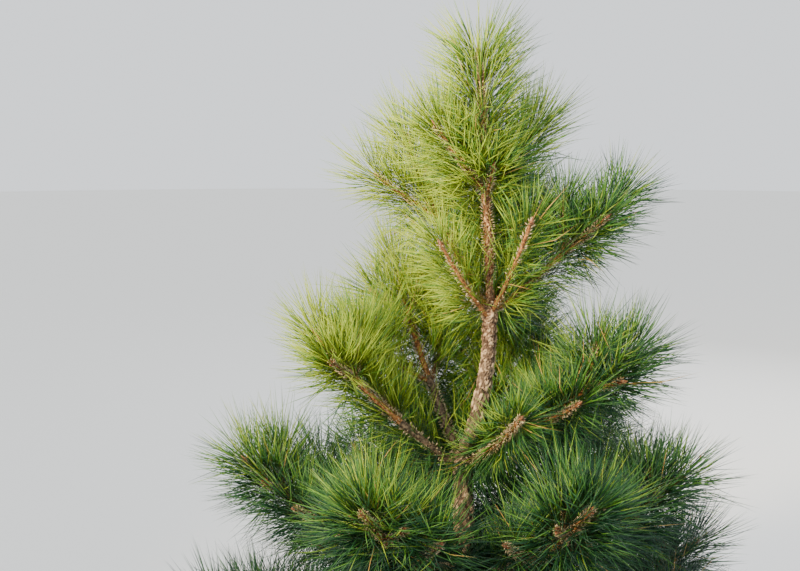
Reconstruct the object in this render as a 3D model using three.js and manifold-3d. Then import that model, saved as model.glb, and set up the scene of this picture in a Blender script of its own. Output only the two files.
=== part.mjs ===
// A young black pine, 1.8 m tall, rooted in the ground: one leaning stem with a whorl of boughs for each
// year of growth, and a brush of long needles round every shoot. Millimetres, +Z up. The origin is the
// middle of the flat cut under the stem, at ground level. Bearings are in degrees from +X towards +Y.
import * as THREE from "three";
import { mergeVertices } from "three/addons/utils/BufferGeometryUtils.js";
import Module from "manifold-3d";

const wasm = await Module();
wasm.setup();

// The stem, station by station. at is where its axis passes, bow is how far the length above bulges
// towards +X, and stem is its radius just above this station and just below the next. A whorl's bough is
// [bearing, rise at its foot, length to its bud, drop of its foot below the whorl], and limb is the radius
// of the whorl's longest bough at its foot and at its bud.
const FOOT = { height: 0, at: [0, 0], bow: 0, stem: [31, 28] };
const WHORLS = [
  {
    name: "skirt", height: 190, at: [-4, 4], bow: 2, stem: [27, 25], years: 3, limb: [9, 4],
    boughs: [[32, 6, 470, 0], [128, 9, 450, 12], [205, 5, 480, 0], [298, 8, 460, 14]],
  },
  {
    name: "base", height: 405, at: [-12, -4], bow: -3, stem: [24, 23], years: 4, limb: [11.5, 4],
    boughs: [
      [14, 13, 590, 0], [72, 10, 560, 22], [133, 14, 580, 4],
      [202, 13, 600, 20], [264, 11, 590, 0], [325, 17, 600, 24],
    ],
  },
  {
    name: "lower", height: 630, at: [-20, 3], bow: 2, stem: [21.5, 20.5], years: 4, limb: [10.5, 4],
    boughs: [
      [346, 19, 505, 0], [42, 21, 520, 22], [108, 20, 510, 2],
      [187, 20, 535, 20], [247, 23, 535, 0], [300, 27, 520, 24],
    ],
  },
  {
    name: "middle", height: 873, at: [-24, 0], bow: 15, stem: [17, 14], years: 3, limb: [8.5, 4],
    boughs: [
      [355, 28, 425, 0], [62, 33, 440, 20], [122, 47, 500, 2], [195, 38, 430, 18], [302, 30, 250, 8],
    ],
  },
  {
    name: "upper", height: 1188, at: [29, -5], bow: 2, stem: [8, 6.8], years: 2, limb: [5.8, 3.6],
    boughs: [
      [9, 37, 360, 0], [74, 40, 370, 18], [136, 51, 440, 2], [224, 46, 215, 16], [306, 56, 230, 6],
    ],
  },
  {
    name: "top", height: 1430, at: [17, 2], bow: 2, stem: [5.8, 4.2], years: 1, limb: [4, 3.2],
    boughs: [[22, 48, 165, 0], [112, 52, 160, 8], [200, 50, 170, 2], [285, 50, 75, 10]],
  },
];
const TIP = { height: 1690, at: [0, 0] };
const BUD = { radius: 6.8, length: 34, point: 0.6 }; // at the tip of the stem

const FLARE = 11; // how much wider the stem is at the ground than its taper says
const FLARE_HEIGHT = 42; // the flare has faded to a third at this height
const FLARE_RINGS = [0, 14, 34, 70, 120]; // heights of the stem's rings below its first whorl
const COLLAR = 12; // half the height over which the stem steps down at a whorl

// Growth. A bough is stepped off in STEPS_A_YEAR straight steps for each year, each turned a little
// further up than the last. At the end of every year but its last, a fork of side shoots leaves it.
const STEPS_A_YEAR = 2;
const YEAR_SHRINK = 0.12; // each year's growth is shorter than the first by this share of it
const LIFT = 0.074; // how far each step is pulled towards straight up
const SWAY = 8; // degrees by which a bough's bearing wanders over its length, at most
const FORK_ANGLE = [38, 54]; // degrees between a bough and its side shoots
const FORK_SIDES = [90, -90, 10]; // where they leave it, in degrees round it from its upper side
const FORK_TURN = 15; // degrees by which those wander, at most
const UPPER_FORK_YEARS = 1; // only a fork with no more years than this to grow has the upper shoot
const SIDE_LENGTH = [0.6, 0.8]; // of what the bough still has to grow
const SLIM = 0.5; // a bough is thinner than its whorl's longest by this power of its share of that length
const LEAST_SIDE = 60; // a fork that would be shorter than this stays a bud
const LOST = { // forks that broke off young, as [year, which of FORK_SIDES]
  middle_4: [[1, 1]],
  middle_5: [[1, 0]],
  upper_4: [[1, 0], [1, 1], [1, 2]],
  upper_5: [[1, 0], [1, 1], [1, 2]],
};
const SIDE_LIMB = [4.4, 3.4]; // radius of a side shoot at its foot and at its bud

// Foliage. Each needle stands for the spray of needles round it. Its shoot has a core, where the feet of
// the real needles stand too close to tell apart.
const NEEDLE = { radius: 3, length: [124, 146], sides: 3 };
const NEEDLE_TILT = [82, 26]; // degrees between a needle and its shoot, at the shoot's foot and at its bud
const NEEDLE_ROOT = 5; // a needle starts this far out from the middle of its core
const NEEDLE_SPACING = 42; // along a shoot
const NEEDLES_LEAST = 4;
const FIRST_NEEDLE = 0.85; // of a spacing, from a shoot's foot to its first needle
const TURN = 137.508; // degrees round the shoot from each needle to the next
const CORE = 12; // radius of the core where it is thickest
const CORE_SWELL = [0, 0.8, 1, 0.85, 0]; // from foot to bud, 0 is the bare twig and 1 the full core
const LEADER = {
  from: 1478, to: 1684, core: [12.5, 15.5, 15.5, 14, 10.5],
  needles: 30, needleLength: [129, 151], tilt: [80, 30],
};

// Clearances
const GAP = 0.35; // between solids that meet
const NODE_CLEAR = 16; // a limb gives way to its foliage this far before its first fork
const NEEDLE_MARGIN = 8; // a needle stays this much nearer to its own bough than to any other
const TWIG_MARGIN = 25; // the same for a side shoot with its core
const GROUND_CLEAR = 22; // between the ground and the lowest needle
const NEEDLE_PROBES = [0.35, 0.6, 0.8, 1]; // where along a needle its clearances are tested
const TWIG_PROBES = [0.4, 0.7, 1];

const STEM_SIDES = 12;
const BOUGH_SIDES = 7;
const CORE_SIDES = 3;
const LEADER_SIDES = 8;

const { degToRad, lerp } = THREE.MathUtils;
const UP = new THREE.Vector3(0, 0, 1);
const STATIONS = [FOOT, ...WHORLS, TIP];
const TOP_WHORL = WHORLS.at(-1);

// A seeded stream of numbers from 0 to 1, by a Lehmer generator.
function stream(seed) {
  let state = seed;
  return () => {
    state = (state * 48271) % 2147483647;
    return state / 2147483647;
  };
}

// The stretch of stem that a height is on, and how far up that stretch it is.
function stretchAt(height) {
  let index = 0;
  while (index < STATIONS.length - 2 && height > STATIONS[index + 1].height) index += 1;
  const [below, above] = [STATIONS[index], STATIONS[index + 1]];
  return { below, above, share: (height - below.height) / (above.height - below.height) };
}

function stemAxis(height) {
  const { below, above, share } = stretchAt(height);
  const x = lerp(below.at[0], above.at[0], share) + below.bow * Math.sin(Math.PI * share);
  return new THREE.Vector3(x, lerp(below.at[1], above.at[1], share), height);
}

function stemRadius(height) {
  const { below, share } = stretchAt(height);
  return lerp(...below.stem, share) + FLARE * Math.exp(-height / FLARE_HEIGHT);
}

function heading(bearing, rise) {
  const level = Math.cos(degToRad(rise));
  const across = degToRad(bearing);
  return new THREE.Vector3(Math.cos(across) * level, Math.sin(across) * level, Math.sin(degToRad(rise)));
}

// The lengths of a limb's steps, when it has grown to this length in so many years.
function stepLengths(length, years) {
  const shares = Array.from({ length: years }, (_, year) => 1 - YEAR_SHRINK * year);
  const whole = shares.reduce((sum, share) => sum + share);
  return shares.flatMap((share) => Array(STEPS_A_YEAR).fill((length * share) / whole / STEPS_A_YEAR));
}

// The path of a limb that sets out from start, its bearing wandering by sway degrees.
function grow(start, way, steps, sway) {
  const path = [start.clone()];
  const turned = way.clone();
  steps.forEach((length) => {
    turned.applyAxisAngle(UP, degToRad(sway / steps.length));
    path.push(path.at(-1).clone().addScaledVector(turned, length));
    turned.addScaledVector(UP, LIFT).normalize();
  });
  return path;
}

// The paths of the side shoots of a bough.
function sideShoots(path, steps, years, lost, draw) {
  const shoots = [];
  for (let year = 1; year < years; year += 1) {
    const node = year * STEPS_A_YEAR;
    const along = path[node + 1].clone().sub(path[node]).normalize();
    const upper = UP.clone().addScaledVector(along, -along.z).normalize();
    const left = steps.slice(node).reduce((sum, step) => sum + step);
    const yearsLeft = years - year;
    const sides = yearsLeft > UPPER_FORK_YEARS ? FORK_SIDES.slice(0, 2) : FORK_SIDES;
    sides.forEach((side, which) => {
      const turn = degToRad(side + lerp(-FORK_TURN, FORK_TURN, draw()));
      const fork = degToRad(lerp(...FORK_ANGLE, draw()));
      const out = upper.clone().applyAxisAngle(along, turn);
      const way = along.clone().multiplyScalar(Math.cos(fork)).addScaledVector(out, Math.sin(fork));
      const length = left * lerp(...SIDE_LENGTH, draw());
      const broken = lost.some(([lostYear, lostSide]) => lostYear === year && lostSide === which);
      if (broken || length < LEAST_SIDE) return;
      shoots.push(grow(path[node], way, stepLengths(length, yearsLeft), 0));
    });
  }
  return shoots;
}

// Every bough, from the stem's axis to its bud, with its side shoots.
function boughOf(whorl, level, place) {
  const [bearing, rise, length, drop] = whorl.boughs[place];
  const draw = stream(1009 * (level + 1) + 97 * (place + 1));
  const steps = stepLengths(length, whorl.years);
  const sway = lerp(-SWAY, SWAY, draw());
  const path = grow(stemAxis(whorl.height - drop), heading(bearing, rise), steps, sway);
  const longest = Math.max(...whorl.boughs.map((bough) => bough[2]));
  const radii = whorl.limb.map((radius) => radius * (length / longest) ** SLIM);
  const name = `${whorl.name}_${place + 1}`;
  const shoots = sideShoots(path, steps, whorl.years, LOST[name] ?? [], draw);
  return { name, whorl, path, radii, shoots, draw };
}

const boughs = WHORLS.flatMap((whorl, level) => {
  return whorl.boughs.map((_, place) => boughOf(whorl, level, place));
});
const leaderHeights = [TOP_WHORL.height, (TOP_WHORL.height + TIP.height) / 2, TIP.height];
const leader = { path: leaderHeights.map(stemAxis) };
const axes = [leader, ...boughs];

// The space that a bough's foliage keeps to is where its own axis is nearer than any other.
function distanceTo(path, point) {
  const near = new THREE.Vector3();
  const distances = path.slice(1).map((end, i) => {
    new THREE.Line3(path[i], end).closestPointToPoint(point, true, near);
    return near.distanceTo(point);
  });
  return Math.min(...distances);
}

function inOwnSpace(owner, point, margin) {
  const own = distanceTo(owner.path, point);
  return axes.every((other) => other === owner || distanceTo(other.path, point) > own + margin);
}

// Whether a point with something of this radius round it is clear of the stem and of the ground.
function clearOfStem(point, radius) {
  const height = THREE.MathUtils.clamp(point.z, 0, TIP.height);
  return point.distanceTo(stemAxis(height)) > stemRadius(height) + radius;
}

function clearOfGround(point, radius) {
  return point.z > GROUND_CLEAR + radius;
}

// The closed solid of a geometry, with its shared corners merged and the faces that merging flattens left
// out.
function solidOf(geometry) {
  const bare = geometry.clone();
  bare.deleteAttribute("normal");
  bare.deleteAttribute("uv");
  const merged = mergeVertices(bare, 1e-4);
  const corners = merged.index.array;
  const faces = [];
  for (let i = 0; i < corners.length; i += 3) {
    const [a, b, c] = corners.slice(i, i + 3);
    if (a !== b && b !== c && c !== a) faces.push(a, b, c);
  }
  const vertProperties = merged.attributes.position.array;
  const triVerts = new Uint32Array(faces);
  return new wasm.Manifold(new wasm.Mesh({ numProp: 3, vertProperties, triVerts }));
}

function meshOf(name, solid, material) {
  const { vertProperties, triVerts } = solid.getMesh();
  const geometry = new THREE.BufferGeometry();
  geometry.setAttribute("position", new THREE.BufferAttribute(vertProperties, 3));
  geometry.setIndex(new THREE.BufferAttribute(triVerts, 1));
  geometry.computeVertexNormals();
  const mesh = new THREE.Mesh(geometry, material);
  mesh.name = name;
  return mesh;
}

// The largest of the bodies that a cut leaves. The rest are loose scraps.
function largestBody(solid) {
  return solid.decompose().reduce((a, b) => (b.volume() > a.volume() ? b : a));
}

// A round limb, turned as a lathe profile with one ring for each point of its path and then bent to follow
// the path. Its rings are square to the path, or level.
function limb(path, radii, sides, level = false) {
  const last = path.length - 1;
  const wall = radii.map((radius, i) => new THREE.Vector2(radius, i));
  const profile = [new THREE.Vector2(0, 0), ...wall, new THREE.Vector2(0, last)];
  const turned = new THREE.LatheGeometry(profile, sides);
  const tilts = path.map((_, i) => {
    const along = path[Math.min(i + 1, last)].clone().sub(path[Math.max(i - 1, 0)]).normalize();
    return new THREE.Quaternion().setFromUnitVectors(UP, level ? UP : along);
  });
  const corners = turned.attributes.position;
  for (let i = 0; i < corners.count; i += 1) {
    const ring = Math.round(corners.getY(i));
    const corner = new THREE.Vector3(corners.getZ(i), corners.getX(i), 0);
    corners.setXYZ(i, ...corner.applyQuaternion(tilts[ring]).add(path[ring]));
  }
  return solidOf(turned);
}

function pointAlong(path, share) {
  const place = share * (path.length - 1);
  const step = Math.min(Math.floor(place), path.length - 2);
  const along = path[step + 1].clone().sub(path[step]);
  return { spot: path[step].clone().addScaledVector(along, place - step), along: along.normalize() };
}

function lengthOf(path) {
  return path.slice(1).reduce((sum, point, i) => sum + point.distanceTo(path[i]), 0);
}

// The stem, thickened by extra. Its rings stand in the flare, at both sides of each collar, halfway
// between the whorls, and round the bud.
function stemSolid(extra) {
  const heights = [...FLARE_RINGS];
  STATIONS.slice(1, -1).forEach(({ height }, i) => {
    heights.push(height - COLLAR, height + COLLAR, (height + STATIONS[i + 2].height) / 2);
  });
  const path = heights.map(stemAxis);
  const radii = heights.map(stemRadius);
  const bud = [[0, TOP_WHORL.stem[1]], [0.2, BUD.radius], [0.55, BUD.radius * 0.85], [1, BUD.point]];
  bud.forEach(([share, radius]) => {
    path.push(new THREE.Vector3(...TIP.at, TIP.height + BUD.length * share));
    radii.push(radius);
  });
  return limb(path, radii.map((radius) => radius + extra), STEM_SIDES, true);
}

// A bough's bare limb: its first year of growth, up to just short of the first fork.
function limbPath(bough) {
  const path = bough.path.slice(0, STEPS_A_YEAR + 1);
  const end = path.at(-1);
  const back = path.at(-2).clone().sub(end).setLength(NODE_CLEAR);
  return [...path.slice(0, -1), end.clone().add(back)];
}

function limbRadius(bough, step) {
  return lerp(...bough.radii, step / (bough.path.length - 1));
}

function limbSolid(bough, extra) {
  const path = limbPath(bough);
  return limb(path, path.map((_, step) => limbRadius(bough, step) + extra), BOUGH_SIDES);
}

// The core of a shoot, swelling from the bare twig and back to it. radii are the twig's, at its foot and
// bud.
function shootCore(path, radii) {
  const thick = path.map((_, i) => {
    const share = i / (path.length - 1);
    const place = share * (CORE_SWELL.length - 1);
    const index = Math.min(Math.floor(place), CORE_SWELL.length - 2);
    const swell = lerp(CORE_SWELL[index], CORE_SWELL[index + 1], place - index);
    return lerp(lerp(...radii, share), CORE, swell);
  });
  return limb(path, thick, CORE_SIDES);
}

function needle(root, way, length) {
  const cone = new THREE.ConeGeometry(NEEDLE.radius, length, NEEDLE.sides);
  cone.rotateX(Math.PI / 2).translate(0, 0, length / 2);
  cone.applyQuaternion(new THREE.Quaternion().setFromUnitVectors(UP, way)).translate(...root);
  return solidOf(cone);
}

// The needles of one shoot, wound round it by TURN. One that would leave its bough's space, touch the stem
// or come near the ground is left out.
function needlesOn(path, owner, count, lengths, tilts, draw) {
  const made = [];
  for (let i = 0; i < count; i += 1) {
    const share = (i + FIRST_NEEDLE) / count;
    const { spot, along } = pointAlong(path, share);
    const across = new THREE.Vector3(along.y, -along.x, 0.01).cross(along).normalize();
    across.applyAxisAngle(along, degToRad(TURN * (i + draw() / 4)));
    const tilt = degToRad(lerp(...tilts, share));
    const way = along.clone().multiplyScalar(Math.cos(tilt)).addScaledVector(across, Math.sin(tilt));
    const length = lerp(...lengths, draw());
    const fits = NEEDLE_PROBES.every((part) => {
      const point = spot.clone().addScaledVector(way, length * part);
      const clear = owner === leader || clearOfStem(point, NEEDLE.radius);
      return clear && inOwnSpace(owner, point, NEEDLE_MARGIN) && clearOfGround(point, NEEDLE.radius);
    });
    if (fits) made.push(needle(spot.addScaledVector(way, NEEDLE_ROOT), way, length - NEEDLE_ROOT));
  }
  return made;
}

function shootNeedles(path, bough) {
  const count = Math.max(NEEDLES_LEAST, Math.round(lengthOf(path) / NEEDLE_SPACING));
  return needlesOn(path, bough, count, NEEDLE.length, NEEDLE_TILT, bough.draw);
}

function staysInSpace(path, owner) {
  return TWIG_PROBES.every((share) => {
    const { spot } = pointAlong(path, share);
    return inOwnSpace(owner, spot, TWIG_MARGIN) && clearOfStem(spot, CORE) && clearOfGround(spot, CORE);
  });
}

// The foliage on a bough: everything past its bare limb, or all of a bough in its first year.
function foliageSolid(bough, stemCut) {
  const { path, radii, shoots, whorl } = bough;
  const young = whorl.years === 1;
  const limbEnd = limbPath(bough).at(-1);
  const gap = path[STEPS_A_YEAR].clone().sub(limbEnd).setLength(GAP);
  const axis = young ? path : [limbEnd.add(gap), ...path.slice(STEPS_A_YEAR)];
  const foot = young ? 0 : STEPS_A_YEAR;
  const parts = [shootCore(axis, [limbRadius(bough, foot), radii[1]])];
  parts.push(...shootNeedles(young ? path.slice(1) : axis, bough));
  shoots.filter((shoot) => staysInSpace(shoot, bough)).forEach((shoot) => {
    parts.push(shootCore(shoot, SIDE_LIMB), ...shootNeedles(shoot.slice(1), bough));
  });
  const whole = wasm.Manifold.union(parts).subtract(stemCut);
  return largestBody(young ? whole : whole.subtract(limbSolid(bough, GAP)));
}

// The leader's needles stand in a sleeve round the top of the stem.
function leaderSolid(stemCut) {
  const last = LEADER.core.length - 1;
  const path = LEADER.core.map((_, i) => stemAxis(lerp(LEADER.from, LEADER.to, i / last)));
  const sleeve = limb(path, LEADER.core, LEADER_SIDES);
  const needles = needlesOn(path, leader, LEADER.needles, LEADER.needleLength, LEADER.tilt, stream(7919));
  return largestBody(wasm.Manifold.union([sleeve, ...needles]).subtract(stemCut));
}

const bark = new THREE.MeshStandardMaterial({ color: 0x7d6450, roughness: 0.9, metalness: 0 });
const youngBark = new THREE.MeshStandardMaterial({ color: 0xa9794c, roughness: 0.85, metalness: 0 });
const foliage = new THREE.MeshStandardMaterial({ color: 0x5d8c2e, roughness: 0.5, metalness: 0 });

const stemCut = stemSolid(GAP / Math.cos(Math.PI / STEM_SIDES));
const tree = new THREE.Group();
tree.add(meshOf("trunk", stemSolid(0), bark));
tree.add(meshOf("needles_leader", leaderSolid(stemCut), foliage));

// A limb is cut clear of the stem, and of the limbs made before it in its whorl.
boughs.forEach((bough, index) => {
  if (bough.whorl.years > 1) {
    const before = boughs.slice(0, index).filter((other) => other.whorl === bough.whorl);
    const cuts = [stemCut, ...before.map((other) => limbSolid(other, GAP))];
    const cut = limbSolid(bough, 0).subtract(wasm.Manifold.union(cuts));
    tree.add(meshOf(`bough_${bough.name}`, largestBody(cut), youngBark));
  }
  tree.add(meshOf(`needles_${bough.name}`, foliageSolid(bough, stemCut), foliage));
});

export default tree;
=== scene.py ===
import math

import bpy
import numpy as np
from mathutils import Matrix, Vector, noise


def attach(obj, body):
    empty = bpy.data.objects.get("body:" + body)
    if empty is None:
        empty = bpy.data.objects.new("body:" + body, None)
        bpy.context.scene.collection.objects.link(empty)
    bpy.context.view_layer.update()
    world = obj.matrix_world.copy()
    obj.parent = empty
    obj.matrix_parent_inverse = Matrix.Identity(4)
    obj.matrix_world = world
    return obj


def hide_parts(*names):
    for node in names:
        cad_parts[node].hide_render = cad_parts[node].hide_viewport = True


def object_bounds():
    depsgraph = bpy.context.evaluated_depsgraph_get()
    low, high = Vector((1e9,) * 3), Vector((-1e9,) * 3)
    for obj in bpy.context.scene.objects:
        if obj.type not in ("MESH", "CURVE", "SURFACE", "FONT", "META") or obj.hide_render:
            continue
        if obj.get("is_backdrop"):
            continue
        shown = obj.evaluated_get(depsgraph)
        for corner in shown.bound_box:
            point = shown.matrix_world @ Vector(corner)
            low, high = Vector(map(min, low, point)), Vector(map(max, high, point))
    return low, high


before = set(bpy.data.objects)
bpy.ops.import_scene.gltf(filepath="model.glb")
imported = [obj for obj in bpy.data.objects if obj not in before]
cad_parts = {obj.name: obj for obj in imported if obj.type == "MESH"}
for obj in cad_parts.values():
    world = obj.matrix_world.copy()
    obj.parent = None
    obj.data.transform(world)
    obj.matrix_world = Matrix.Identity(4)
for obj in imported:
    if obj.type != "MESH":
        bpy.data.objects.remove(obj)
cad_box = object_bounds()


# The studio. The pine is seen from where someone stands beside it, at eye height, on a floor of matt pale
# board. A warm lamp on the left has a grid that keeps its light to the upper crown, as a low evening sun
# does. Wide cool ones fill in from the front and from behind.
EYE = (-0.154, -1.70, 1.50)
LOOK_DOWN = math.radians(8.6)
FOCAL_LENGTH = 850 / 800  # of the frame's width
FLOOR_RADIUS = 40.0
FLOOR_CORNERS = 64
FLOOR_COLOUR = "#F1F0EC"
SKY_COLOUR = "#F2F6FA"
SKY_STRENGTH = 1.4
LAMPS = [  # in metres, degrees and watts
    dict(
        name="evening_sun", colour="#FFEAC2", power=52,
        at=(-2.6, -2.0, 3.3), aim=(0, 0, 1.75), size=0.7, spread=56,
    ),
    dict(
        name="front_fill", colour="#E8F0FF", power=40,
        at=(1.2, -4.2, 3.0), aim=(0, 0, 0.9), size=3.0, spread=180,
    ),
    dict(
        name="back_rim", colour="#F2F7FF", power=90,
        at=(2.4, 3.8, 3.0), aim=(0, 0, 1.2), size=2.4, spread=180,
    ),
]


def linear(colour):
    """An sRGB hex colour as the linear RGBA that a shader takes."""
    channels = [int(colour[i : i + 2], 16) / 255 for i in (1, 3, 5)]
    return (*[c / 12.92 if c <= 0.04045 else ((c + 0.055) / 1.055) ** 2.4 for c in channels], 1.0)


def add(tree, kind, values=None, links=None, **settings):
    """Adds a node with its settings, its sockets' values and the links into them."""
    node = tree.nodes.new(kind)
    for name, value in settings.items():
        setattr(node, name, value)
    for socket, value in (values or {}).items():
        node.inputs[socket].default_value = value
    for socket, source in (links or {}).items():
        tree.links.new(source, node.inputs[socket])
    return node


def new_material(name, values):
    """A material with these values on its shader's own sockets, and its tree and shader."""
    material = bpy.data.materials.new(name)
    material.use_nodes = True
    shader = material.node_tree.nodes["Principled BSDF"]
    for socket, value in values.items():
        shader.inputs[socket].default_value = value
    return material, material.node_tree, shader


def put_in_scene(name, data):
    thing = bpy.data.objects.new(name, data)
    bpy.context.scene.collection.objects.link(thing)
    return thing


camera_data = bpy.data.cameras.new("eye_height")
camera_data.lens = camera_data.sensor_width * FOCAL_LENGTH
camera = put_in_scene("eye_height", camera_data)
camera.location = EYE
camera.rotation_euler = (math.pi / 2 - LOOK_DOWN, 0, 0)
bpy.context.scene.camera = camera

for values in LAMPS:
    lamp_data = bpy.data.lights.new(values["name"], "AREA")
    lamp_data.shape = "DISK"
    lamp_data.size = values["size"]
    lamp_data.spread = math.radians(values["spread"])
    lamp_data.energy = values["power"]
    lamp_data.color = linear(values["colour"])[:3]
    lamp = put_in_scene(values["name"], lamp_data)
    lamp.location = values["at"]
    lamp.rotation_euler = (Vector(values["aim"]) - lamp.location).to_track_quat("-Z", "Y").to_euler()

world = bpy.data.worlds.new("pale_sky")
world.use_nodes = True
background = world.node_tree.nodes["Background"]
background.inputs["Color"].default_value = linear(SKY_COLOUR)
background.inputs["Strength"].default_value = SKY_STRENGTH
bpy.context.scene.world = world

floor_mesh = bpy.data.meshes.new("floor")
floor_angles = np.arange(FLOOR_CORNERS) * math.tau / FLOOR_CORNERS
floor_rim = [(FLOOR_RADIUS * math.cos(a), FLOOR_RADIUS * math.sin(a), 0) for a in floor_angles]
floor_mesh.from_pydata(floor_rim, [], [list(range(FLOOR_CORNERS))])
matt_board, _, _ = new_material("matt_board", {"Base Color": linear(FLOOR_COLOUR), "Roughness": 0.9})
floor_mesh.materials.append(matt_board)
floor = put_in_scene("floor", floor_mesh)
floor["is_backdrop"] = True


# The stem. It is one straight-grained trunk, grown a whorl at a time, from a flat cut level with the ground
# to the bud of its leader. Its bark is thin: scaly plates below, smaller and shallower towards the leader.
MM = 0.001  # the tree's sizes are in millimetres
UP = np.array([0.0, 0.0, 1.0])
# At each station, at is where the axis passes, bow how far the length above bulges towards +X, and radii
# the stem's just above this station and just below the next.
STATIONS = [
    dict(name="foot", height=0, at=(0, 0), bow=0, radii=(31, 28)),
    dict(name="skirt", height=190, at=(-4, 4), bow=2, radii=(27, 25)),
    dict(name="base", height=405, at=(-12, -4), bow=-3, radii=(24, 23)),
    dict(name="lower", height=630, at=(-20, 3), bow=2, radii=(21.5, 20.5)),
    dict(name="middle", height=873, at=(-24, 0), bow=15, radii=(17, 14)),
    dict(name="upper", height=1188, at=(29, -5), bow=2, radii=(8, 6.8)),
    dict(name="top", height=1430, at=(17, 2), bow=2, radii=(5.8, 4.2)),
    dict(name="tip", height=1690, at=(0, 0)),
]
STEM_TOP = STATIONS[-1]["height"]
FLARE = 11
FLARE_HEIGHT = 42
WHORL_SWELL = 0.12  # of the radius, where a whorl's boughs leave the stem
WHORL_SWELL_REACH = 18  # above and below the whorl
STEP_REACH = 14  # the stem thins from one length to the next over this height
STEM_SIDES = 76
STEM_RING = 2.6  # from one ring of corners to the next
BARK_AGES = (1050, 1400)  # the bark is oldest below the first height and youngest above the second
OLD_PLATE = dict(width=8.5, tall=17, depth=2.8)
YOUNG_PLATE = dict(width=5, tall=8, depth=1.6)
PLATE_WAVER = dict(depth=0.6, per_plate=1.7)  # how plates' edges wander
BARK_SEED = 7  # without it, noise_vector takes its seed from the clock
PLATE_CELLS = 7.3  # sets neighbouring plates' own numbers apart
CRACK = (0.02, 0.2)  # how far between two plates' middles a crack starts and ends
CRACK_DEPTH = 0.6  # of the plates' depth
PLATE_LIFT = (0.6, 1.2)  # of that depth, from the thinnest plate to the thickest
PLATE_TONE = (0.4, 0.9)  # how pale those are, from 0 to 1
GRIT = dict(size=2.2, lift=0.4, tone=0.3)  # the fine grain on plates and in cracks
LUMP = dict(size=26, height=2.2)  # the slow swell and hollow under the bark
CUT_TONE = 0.5
OLD_BARK = ["#352820", "#7C6755", "#AD9276", "#D3B590"]
YOUNG_BARK = ["#56392A", "#9A7050", "#C49A6C", "#E0BF92"]
YOUNG_FROM = (1.08, 1.30)  # metres up, where the stem turns from grey-brown to orange-brown


def between(low, high, share):
    return low + (high - low) * share


def smooth_step(low, high, value):
    share = np.clip((value - low) / (high - low), 0, 1)
    return share * share * (3 - 2 * share)


def stretch_at(height):
    """The stations below and above a height, and how far up it is between them."""
    index = 0
    while index < len(STATIONS) - 2 and height > STATIONS[index + 1]["height"]:
        index += 1
    below, above = STATIONS[index], STATIONS[index + 1]
    return below, above, (height - below["height"]) / (above["height"] - below["height"])


def stem_axis(height):
    below, above, share = stretch_at(height)
    x = between(below["at"][0], above["at"][0], share) + below["bow"] * math.sin(math.pi * share)
    return np.array([x, between(below["at"][1], above["at"][1], share), height])


def stem_radius(height):
    """The stem's radius: it swells under each whorl and thins over a short height above it."""
    below, _, share = stretch_at(height)
    radius = between(*below["radii"], share) + FLARE * math.exp(-height / FLARE_HEIGHT)
    for lower, whorl in zip(STATIONS, STATIONS[1:-1]):
        above = height - whorl["height"]
        if above > 0:
            radius += (lower["radii"][1] - whorl["radii"][0]) * math.exp(-((above / STEP_REACH) ** 2))
        radius += WHORL_SWELL * whorl["radii"][0] * math.exp(-((above / WHORL_SWELL_REACH) ** 2))
    return radius


def bark_at(spot, height):
    """How far the bark stands out at a spot of the stem, and how pale it is there, from 0 to 1."""
    youth = float(smooth_step(*BARK_AGES, height))
    sizes = (between(OLD_PLATE[key], YOUNG_PLATE[key], youth) for key in ("width", "tall", "depth"))
    width, tall, depth = sizes
    place = Vector((spot[0] / width, spot[1] / width, spot[2] / tall))
    waver = PLATE_WAVER["depth"] * noise.noise_vector(place * PLATE_WAVER["per_plate"])
    distances, middles = noise.voronoi(place + waver)
    plate = float(smooth_step(*CRACK, distances[1] - distances[0]))
    own = noise.cell(middles[0] * PLATE_CELLS)
    grit = noise.noise(Vector(spot) / GRIT["size"])
    lump = LUMP["height"] * noise.noise(Vector(spot) / LUMP["size"])
    lift = depth * (plate * between(*PLATE_LIFT, own) - CRACK_DEPTH + GRIT["lift"] * grit) + lump
    return lift, plate * between(*PLATE_TONE, own) + GRIT["tone"] * grit


def tube_faces(rings, sides):
    """The faces of a closed tube: its wall, and a fan at each end round the two last corners."""
    ring, side = np.meshgrid(np.arange(rings - 1), np.arange(sides), indexing="ij")
    a = (ring * sides + side).ravel()
    b = (ring * sides + (side + 1) % sides).ravel()
    wall = np.concatenate([np.stack([a, b, b + sides], 1), np.stack([a, b + sides, a + sides], 1)])
    first = np.arange(sides)
    after = (first + 1) % sides
    last = (rings - 1) * sides
    foot_fan = np.stack([after, first, np.full(sides, rings * sides)], 1)
    top_fan = np.stack([first + last, after + last, np.full(sides, rings * sides + 1)], 1)
    return np.concatenate([wall, foot_fan, top_fan])


def new_mesh(name, corners, faces, materials=(), face_materials=None):
    """A smooth-shaded mesh from arrays of corners, in millimetres, and of three-sided faces."""
    mesh = bpy.data.meshes.new(name)
    mesh.vertices.add(len(corners))
    mesh.vertices.foreach_set("co", (corners * MM).astype(np.float32).ravel())
    mesh.loops.add(faces.size)
    mesh.loops.foreach_set("vertex_index", faces.astype(np.int32).ravel())
    mesh.polygons.add(len(faces))
    mesh.polygons.foreach_set("loop_start", np.arange(0, faces.size, 3, dtype=np.int32))
    mesh.polygons.foreach_set("use_smooth", np.ones(len(faces), bool))
    for material in materials:
        mesh.materials.append(material)
    if face_materials is not None:
        mesh.polygons.foreach_set("material_index", face_materials.astype(np.int32))
    mesh.update(calc_edges=True)
    return mesh


def set_points(mesh, name, kind, values):
    """Gives each point of a mesh a named value."""
    field = "vector" if kind == "FLOAT_VECTOR" else "value"
    mesh.attributes.new(name, kind, "POINT").data.foreach_set(field, np.asarray(values, np.float32).ravel())


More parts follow.
